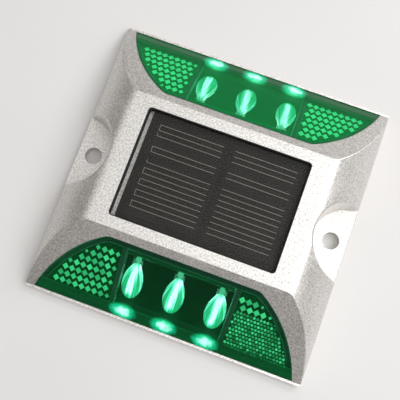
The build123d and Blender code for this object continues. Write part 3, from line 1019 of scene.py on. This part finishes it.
@dataclass
class LampEnd:
    """One sloped end: lens, seal, reflectors, lamps and light guides, in millimetres."""

    side: str
    seed: int
    bright: tuple[float, float]
    fine_plates: tuple[str, ...] = ()
    fine_from: float = 36.0

    def build(self) -> None:
        """Dresses the CAD nodes and sets the prisms."""
        dress(f"{self.side}_lens", Look.LENS)
        dress(f"{self.side}_lens_seal", Look.GASKET)
        dress(f"{self.side}_led_board", Look.CIRCUIT)
        dress(f"{self.side}_lamp_carrier", Look.CARRIER)
        dress(f"{self.side}_lamp_wires", Look.RED)
        for number, hand in enumerate(("left", "right")):
            plate = f"{self.side}_{hand}_reflector"
            dress(plate, Look.PLATE)
            fine = self.fine_from if plate in self.fine_plates else None
            PrismField(plate, self.seed + number, fine, bright=self.bright).build()
        for place in ("left", "middle", "right"):
            dress(f"{self.side}_led_{place}", Look.LAMP)
            dress(f"{self.side}_optic_{place}", Look.OPTIC)


@dataclass
class Inside:
    """Circuit board, battery, wires and bottom cover."""

    looks: tuple[tuple[str, Look], ...] = (
        ("circuit_board", Look.CIRCUIT),
        ("controller_chip", Look.MOULDED),
        ("inductor_core", Look.FERRITE),
        ("inductor_winding", Look.COPPER),
        ("storage_capacitor", Look.CAN),
        ("blocking_diode", Look.MOULDED),
        ("driver_transistors", Look.MOULDED),
        ("board_screws", Look.PLATED),
        ("battery_cell", Look.STEEL),
        ("battery_sleeve", Look.WRAP),
        ("battery_saddles", Look.MOULDED),
        ("battery_tab_positive", Look.PLATED),
        ("battery_tab_negative", Look.PLATED),
        ("battery_wire_positive", Look.RED),
        ("battery_wire_negative", Look.BLACK),
        ("panel_wire_positive", Look.RED),
        ("panel_wire_negative", Look.BLACK),
        ("bottom_cover", Look.BASE),
        ("cover_seal", Look.SEAL),
        ("cover_screws", Look.PLATED),
    )

    def build(self) -> None:
        """Dresses every inner piece."""
        for node, look in self.looks:
            dress(node, look)


@dataclass(frozen=True)
class Softbox:
    """A square lamp that points at the marker. Lengths are in metres, power in watts."""

    name: str
    place: tuple[float, float, float]
    size: float
    power: float

    def build(self) -> None:
        """Hangs the lamp."""
        lamp = bpy.data.lights.new(self.name, "AREA")
        lamp.shape = "SQUARE"
        lamp.size = self.size
        lamp.energy = self.power
        made = bpy.data.objects.new(self.name, lamp)
        made.location = self.place
        made.rotation_euler = Vector(self.place).to_track_quat("Z", "Y").to_euler()
        bpy.context.scene.collection.objects.link(made)
        LOG.info("hung %s", self.name)


@dataclass
class Studio:
    """Pale paper, soft lamps and the camera. Lengths are in metres, angles in degrees."""

    floor_size: float = 4.0
    floor_drop: float = 0.02 * MM
    camera_place: tuple[float, float, float] = (0.01454, -0.04362, 0.25736)
    camera_turn: tuple[float, float, float] = (10.098, 0.586, 20.124)
    focal_length: float = 62.08
    sensor: float = 36.0
    clip_start: float = 0.005
    softboxes: tuple[Softbox, ...] = (
        Softbox("overhead_softbox", (0.5, 0.06, 0.8), 0.74, 4.4),
        Softbox("key_softbox", (0.4, 0.6, 0.5), 0.26, 1.9),
    )
    sky_dim: str = "6c6763"
    sky_bright: str = "f4f3f2"
    sky_strength: float = 1.0

    def build(self) -> None:
        """Lays the paper, hangs the lamps and aims the camera."""
        self._lay_paper()
        for box in self.softboxes:
            box.build()
        self._light_room()
        self._aim_camera()
        bpy.context.scene.view_settings.view_transform = "Standard"

    def _lay_paper(self) -> None:
        """Lays a large sheet of paper just under the marker."""
        shape = bmesh.new()
        bmesh.ops.create_grid(shape, x_segments=8, y_segments=8, size=self.floor_size / 2)
        floor = add_mesh("studio_floor", shape, Look.PAPER)
        floor.location.z = -self.floor_drop
        LOG.info("laid the floor")

    def _light_room(self) -> None:
        """Makes a pale room: brightest overhead, dimmest low down towards -X and -Y."""
        world = bpy.data.worlds.new("studio_room")
        bpy.context.scene.world = world
        world.use_nodes = True
        graph = Graph(world.node_tree)
        toward = graph.node("ShaderNodeTexCoord", {}, {}, "Generated")
        across, along, up = graph.parts(toward)
        bright = up.ease(0.3, 0.97) * 0.85 + along * 0.12 + across * 0.16 + 0.08
        shade = graph.blend(bright.kept(), linear(self.sky_dim), linear(self.sky_bright))
        inputs = {"Color": shade, "Strength": self.sky_strength}
        sky = graph.node("ShaderNodeBackground", {}, inputs)
        graph.node("ShaderNodeOutputWorld", {}, {"Surface": sky})

    def _aim_camera(self) -> None:
        """Places the camera, whose focal length and sensor are in millimetres."""
        lens = bpy.data.cameras.new("studio_camera")
        lens.lens = self.focal_length
        lens.sensor_width = self.sensor
        lens.clip_start = self.clip_start
        made = bpy.data.objects.new("studio_camera", lens)
        made.location = self.camera_place
        made.rotation_euler = Euler([math.radians(angle) for angle in self.camera_turn])
        bpy.context.scene.collection.objects.link(made)
        bpy.context.scene.camera = made


def main() -> None:
    """Builds the marker piece by piece, then the studio."""
    logging.basicConfig(level=logging.INFO, format="%(name)s: %(message)s")
    parts = (
        Housing(),
        SolarWindow(),
        # Front prism lands are dimmer than the rear ones: painted shade on the front, painted light
        # on the rear.
        LampEnd("front", 11, (0.4, 0.72), ("front_right_reflector",)),
        LampEnd("rear", 23, (0.85, 1.0)),
        Inside(),
        Studio(),
    )
    for part in parts:
        part.build()


if __name__ == "__main__":
    main()
